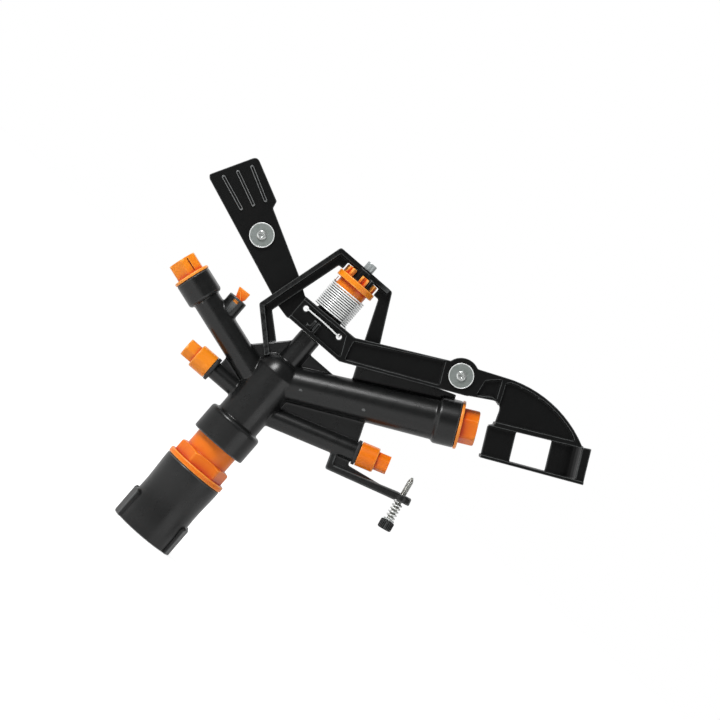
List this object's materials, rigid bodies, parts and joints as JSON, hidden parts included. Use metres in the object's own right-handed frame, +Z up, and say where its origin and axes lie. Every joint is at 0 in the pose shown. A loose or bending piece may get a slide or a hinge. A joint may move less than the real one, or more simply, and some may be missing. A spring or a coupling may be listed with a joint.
{
  "type": "impact sprinkler",
  "caption": "Impact sprinkler with a threaded riser socket, a turning head with angled nozzle tubes, a sprung impact arm with a spoon, a spring adjuster, a jet tap and a jet breaker screw.",
  "frame": {"origin": "on the turning axis, at the lower face of the riser socket", "axes": "+Z up along the turning axis, +X towards the main nozzle, -Y the front, from which the arm lies before the bridge's front leg"},
  "size_m": [0.2903, 0.0398, 0.2191],
  "materials": {
    "black_plastic": "moulded black plastic, satin",
    "orange_plastic": "moulded orange plastic, semi-gloss",
    "rubber": "black sealing rubber",
    "white_plastic": "natural white bearing plastic",
    "zinc_steel": "zinc-plated steel",
    "spring_steel": "bright drawn spring wire"
  },
  "bodies": {
    "base": {"inlet_socket": "black_plastic", "inlet_gasket": "rubber", "bearing_sleeve": "orange_plastic", "sleeve_gasket": "rubber"},
    "head": {"nozzle_body": "black_plastic", "bridge": "black_plastic", "bearing_tube": "white_plastic", "thrust_washer": "white_plastic", "seal_washer": "rubber", "pressure_spring": "spring_steel", "dust_washer": "white_plastic", "fulcrum_pin": "zinc_steel", "hub_washer": "white_plastic", "main_nozzle": "orange_plastic", "main_nozzle_seal": "rubber", "stream_straightener": "white_plastic", "rear_nozzle": "orange_plastic", "rear_nozzle_seal": "rubber", "lower_rear_cap": "orange_plastic", "lower_rear_seal": "rubber", "lower_front_cap": "orange_plastic", "lower_front_seal": "rubber"},
    "impact_arm_body": {"impact_arm": "black_plastic", "arm_bush_lower": "white_plastic", "arm_bush_upper": "white_plastic", "front_weight": "zinc_steel", "rear_weight": "zinc_steel", "front_rivet": "zinc_steel", "rear_rivet": "zinc_steel", "arm_spring": "spring_steel"},
    "retainer": {"spring_retainer": "orange_plastic"},
    "tap": {"jet_tap": "orange_plastic"},
    "breaker_carriage": {"breaker_washer": "zinc_steel", "breaker_spring": "spring_steel"},
    "breaker_turning": {"breaker_screw": "zinc_steel", "breaker_knob": "black_plastic"}
  },
  "joints": [
    {"name": "head_turn", "type": "hinge", "parent": "base", "child": "head", "pos_m": [0, 0, 0.07], "axis": [0, 0, 1], "continuous": true},
    {"name": "arm_swing", "type": "hinge", "parent": "head", "child": "impact_arm_body", "pos_m": [0, 0, 0.155], "axis": [0, 0, 1], "range_deg": [-120, 0], "stiffness_Nm_per_rad": 0.02, "springref_deg": 17.19, "deforming": ["arm_spring"]},
    {"name": "retainer_press", "type": "slide", "parent": "head", "child": "retainer", "axis": [0, 0, -1], "range_m": [0, 0.005], "stiffness_N_per_m": 400, "springref_m": -0.005, "deforming": ["arm_spring"]},
    {"name": "tap_turn", "type": "hinge", "parent": "head", "child": "tap", "pos_m": [-0.0475, 0, 0.144], "axis": [0, 0, 1], "range_deg": [0, 90]},
    {"name": "breaker_travel", "type": "slide", "parent": "head", "child": "breaker_carriage", "axis": [-0.1908, 0, 0.9816], "range_m": [-0.0021, 0.0042], "deforming": ["breaker_spring"]},
    {"name": "breaker_turn", "type": "hinge", "parent": "breaker_carriage", "child": "breaker_turning", "pos_m": [0.1043, 0, 0.11749], "axis": [-0.1908, 0, 0.9816], "range_deg": [-1081, 2161]}
  ],
  "couplings": [
    {"joint": "breaker_turn", "follows": "breaker_travel", "rad_per_m": 8976}
  ]
}
